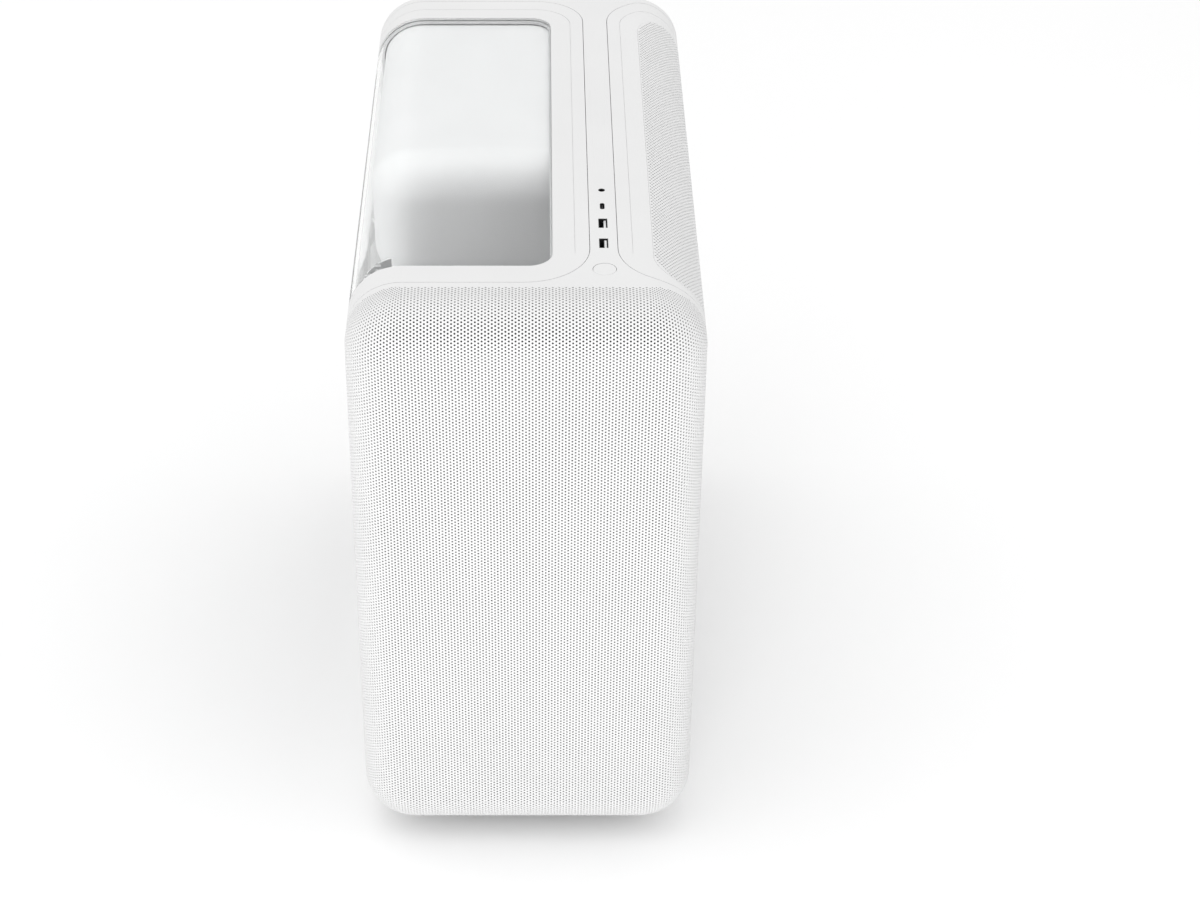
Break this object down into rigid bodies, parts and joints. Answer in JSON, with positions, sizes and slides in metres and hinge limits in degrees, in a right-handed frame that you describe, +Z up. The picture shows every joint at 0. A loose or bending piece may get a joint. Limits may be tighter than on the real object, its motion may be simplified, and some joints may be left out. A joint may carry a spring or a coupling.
{
  "type": "desktop computer tower",
  "caption": "White desktop computer tower with a pillow-shaped mesh front, a glass window bent over the top edge, pull-off covers and a working set of parts inside.",
  "frame": {"origin": "middle of the footprint, on the surface the feet stand on", "axes": "+X to the right seen from the front, +Y towards the back, +Z up; the mesh front faces -Y"},
  "size_m": [0.24, 0.4962, 0.458],
  "materials": {
    "white_moulding": "smooth satin white moulding",
    "white_mesh": "perforated steel sheet, powder coated white",
    "white_steel": "folded steel sheet, powder coated white",
    "window": "clear tempered glass, bent over the top edge",
    "soft_rubber": "soft grey rubber",
    "filter_net": "fine nylon net",
    "white_fan": "white moulded fan plastic",
    "dark_plastic": "black moulded plastic",
    "circuit_board": "black solder mask on glass fibre board",
    "bare_steel": "bright zinc plated steel",
    "brass": "turned brass",
    "aluminium": "satin anodised aluminium",
    "dark_steel": "black powder coated steel"
  },
  "bodies": {
    "root": {"audio_jack": "dark_plastic", "backbone_frame": "white_moulding", "base_plate": "white_steel", "board_connectors": "dark_plastic", "board_heatsinks": "aluminium", "board_standoffs": "brass", "button_switch": "dark_plastic", "cooler_fan_frame": "dark_plastic", "cooler_heatsink": "dark_steel", "cpu_socket": "dark_plastic", "drive_bracket": "white_steel", "fan_bracket": "white_steel", "feet": "soft_rubber", "front_fan_frame_1": "white_fan", "front_fan_frame_2": "white_fan", "front_fan_frame_3": "white_fan", "graphics_backplate": "dark_steel", "graphics_board": "circuit_board", "graphics_bracket": "bare_steel", "graphics_heatsink": "aluminium", "graphics_shroud": "white_fan", "io_shield": "bare_steel", "mains_inlet": "dark_plastic", "motherboard": "circuit_board", "motherboard_tray": "white_steel", "port_board": "circuit_board", "processor": "aluminium", "psu_case": "dark_steel", "psu_fan_frame": "dark_plastic", "psu_pod": "white_steel", "ram_modules": "aluminium", "rear_fan_frame": "white_fan", "rear_io_ports": "bare_steel", "rear_plate": "white_steel", "screws": "bare_steel", "slot_covers": "white_steel", "solid_state_drive": "dark_plastic", "switch_frame": "dark_plastic", "usb_c_socket": "bare_steel", "usb_sockets": "bare_steel"},
    "front_panel": {"front_mesh_panel": "white_mesh", "front_panel_carrier": "white_moulding", "front_dust_filter": "filter_net"},
    "left_cover": {"left_cover": "white_moulding", "window_glass": "window", "glass_gasket": "soft_rubber"},
    "right_cover": {"right_cover": "white_moulding", "side_mesh_insert": "white_mesh", "side_dust_filter": "filter_net"},
    "power_button": {"power_button": "white_moulding"},
    "rocker": {"switch_rocker": "dark_plastic"},
    "front_fan_rotor_1": {"front_fan_rotor_1": "white_fan"},
    "front_fan_rotor_2": {"front_fan_rotor_2": "white_fan"},
    "front_fan_rotor_3": {"front_fan_rotor_3": "white_fan"},
    "rear_fan_rotor": {"rear_fan_rotor": "white_fan"},
    "cooler_fan_rotor": {"cooler_fan_rotor": "dark_plastic"},
    "graphics_rotor_1": {"graphics_rotor_1": "dark_plastic"},
    "graphics_rotor_2": {"graphics_rotor_2": "dark_plastic"},
    "psu_fan_rotor": {"psu_fan_rotor": "dark_plastic"}
  },
  "joints": [
    {"name": "front_panel_pull", "type": "slide", "parent": "root", "child": "front_panel", "axis": [0, -1, 0], "range_m": [0, 0.08]},
    {"name": "left_cover_pull", "type": "slide", "parent": "root", "child": "left_cover", "axis": [-1, 0, 0], "range_m": [0, 0.1]},
    {"name": "right_cover_pull", "type": "slide", "parent": "root", "child": "right_cover", "axis": [1, 0, 0], "range_m": [0, 0.1]},
    {"name": "power_button_press", "type": "slide", "parent": "root", "child": "power_button", "axis": [0, 0, -1], "range_m": [0, 0.0015], "stiffness_N_per_m": 600, "springref_m": -0.0006},
    {"name": "supply_switch", "type": "hinge", "parent": "root", "child": "rocker", "pos_m": [-0.042, 0.233, 0.402], "axis": [-1, 0, 0], "range_deg": [0, 16]},
    {"name": "front_fan_1_spin", "type": "hinge", "parent": "root", "child": "front_fan_rotor_1", "pos_m": [-0.027, -0.145, 0.085], "axis": [0, 1, 0], "continuous": true},
    {"name": "front_fan_2_spin", "type": "hinge", "parent": "root", "child": "front_fan_rotor_2", "pos_m": [-0.027, -0.145, 0.21], "axis": [0, 1, 0], "continuous": true},
    {"name": "front_fan_3_spin", "type": "hinge", "parent": "root", "child": "front_fan_rotor_3", "pos_m": [-0.027, -0.145, 0.335], "axis": [0, 1, 0], "continuous": true},
    {"name": "rear_fan_spin", "type": "hinge", "parent": "root", "child": "rear_fan_rotor", "pos_m": [-0.052, 0.2235, 0.282], "axis": [0, 1, 0], "continuous": true},
    {"name": "cooler_fan_spin", "type": "hinge", "parent": "root", "child": "cooler_fan_rotor", "pos_m": [-0.045, 0.0925, 0.265], "axis": [0, 1, 0], "continuous": true},
    {"name": "graphics_1_spin", "type": "hinge", "parent": "root", "child": "graphics_rotor_1", "pos_m": [-0.0108, -0.002, 0.116], "axis": [0, 0, 1], "continuous": true},
    {"name": "graphics_2_spin", "type": "hinge", "parent": "root", "child": "graphics_rotor_2", "pos_m": [-0.0108, 0.096, 0.116], "axis": [0, 0, 1], "continuous": true},
    {"name": "psu_fan_spin", "type": "hinge", "parent": "root", "child": "psu_fan_rotor", "pos_m": [-0.0325, 0.17, 0.381], "axis": [0, 0, 1], "continuous": true}
  ]
}
